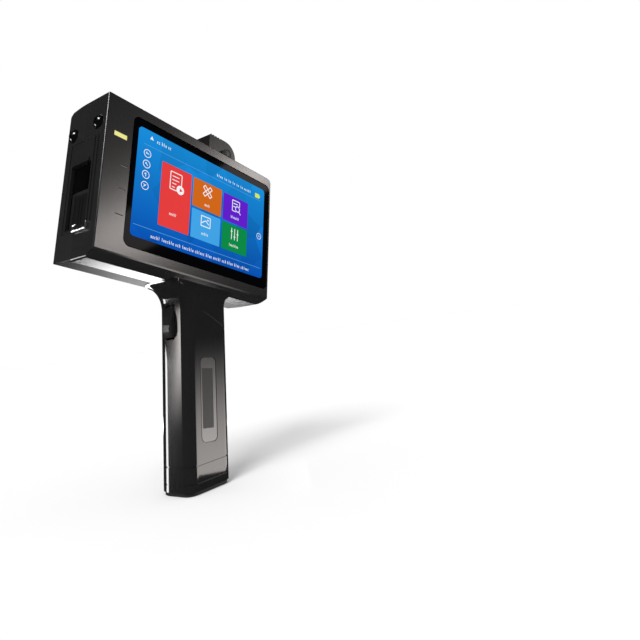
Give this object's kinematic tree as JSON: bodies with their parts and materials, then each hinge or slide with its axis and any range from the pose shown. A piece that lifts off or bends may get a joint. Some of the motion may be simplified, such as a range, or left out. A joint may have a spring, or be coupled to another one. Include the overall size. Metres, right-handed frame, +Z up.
{
  "type": "handheld date code inkjet printer",
  "caption": "Pistol-grip handheld inkjet coder: colour touch screen, drop-in ink cartridge behind a nozzle window, trigger, lock lever and a battery in the grip.",
  "frame": {"origin": "centre of the standing face under the grip", "axes": "+Z up, from the standing face to the head; -Y is the way the screen faces; -X is the way the ink is thrown"},
  "size_m": [0.1526, 0.0387, 0.231],
  "materials": {
    "shell_gloss": "gloss black",
    "shell_satin": "satin black",
    "screen_glass": "polished glass, black border",
    "screen_panel": "lit display, blue",
    "led_amber": "pale yellow light window",
    "mark_grey": "grey light pipe",
    "screw_steel": "plated steel",
    "guide_satin": "satin black",
    "dome_steel": "black nickel",
    "latch_chrome": "bright wire",
    "bay_plastic": "matte dark grey",
    "block_plastic": "matte black",
    "contact_gold": "gold plated",
    "board_green": "green circuit board",
    "port_steel": "nickel plated sheet",
    "button_satin": "satin black",
    "pin_steel": "ground steel",
    "spring_steel": "spring wire",
    "lever_gloss": "gloss black",
    "cartridge_black": "satin black",
    "nozzle_steel": "dark nozzle plate",
    "grip_gloss": "gloss black",
    "inlay_grey": "dark metallic grey",
    "pad_matte": "matte black",
    "trigger_gloss": "gloss black",
    "foot_rubber": "matte rubber",
    "cell_wrap": "blue sleeved metal cell"
  },
  "bodies": {
    "frame": {"front_housing": "shell_gloss", "rear_housing": "shell_satin", "touch_glass": "screen_glass", "display_panel": "screen_panel", "status_led": "led_amber", "side_marks": "mark_grey", "rear_screws": "screw_steel", "guide_plate": "guide_satin", "guide_screws": "dome_steel", "wire_latch": "latch_chrome", "cartridge_carriage": "bay_plastic", "contact_block": "block_plastic", "contact_pins": "contact_gold", "mainboard": "board_green", "board_screws": "screw_steel", "usb_port": "port_steel", "dc_jack": "block_plastic", "power_switch": "block_plastic", "lever_bracket": "bay_plastic", "lever_pin": "pin_steel", "neck_collar": "grip_gloss", "neck_screws": "screw_steel", "grip_front": "grip_gloss", "grip_back": "grip_gloss", "grip_screws": "screw_steel", "grip_inlay": "inlay_grey", "grip_pad": "pad_matte", "trigger_pin": "pin_steel", "trigger_spring": "spring_steel", "trigger_switch": "block_plastic", "battery_contacts": "board_green"},
    "cartridge": {"cartridge_body": "cartridge_black", "cartridge_lid": "cartridge_black", "nozzle_plate": "nozzle_steel", "cartridge_contacts": "contact_gold"},
    "lever": {"lock_lever": "lever_gloss"},
    "trigger_lever": {"trigger": "trigger_gloss"},
    "button": {"power_button": "button_satin"},
    "battery": {"battery_cap": "grip_gloss", "foot_pad": "foot_rubber", "battery_cells": "cell_wrap", "battery_cage": "block_plastic"}
  },
  "joints": [
    {"name": "lever_swing", "type": "hinge", "parent": "frame", "child": "lever", "pos_m": [0.05153, 0, 0.21563], "axis": [0, 1, 0], "range_deg": [0, 80]},
    {"name": "trigger_pull", "type": "hinge", "parent": "frame", "child": "trigger_lever", "pos_m": [0.00177, 0, 0.11433], "axis": [0, -1, 0], "range_deg": [0, 8], "stiffness_Nm_per_rad": 0.2, "springref_deg": -2.86},
    {"name": "power_press", "type": "slide", "parent": "frame", "child": "button", "axis": [-0.9744, 0, 0.225], "range_m": [0, 0.0009], "stiffness_N_per_m": 600, "springref_m": -0.0005},
    {"name": "cartridge_lift", "type": "slide", "parent": "frame", "child": "cartridge", "axis": [0.225, 0, 0.9744], "range_m": [0, 0.085]},
    {"name": "battery_slide", "type": "slide", "parent": "frame", "child": "battery", "axis": [-0.1219, 0, -0.9925], "range_m": [0, 0.062]}
  ]
}
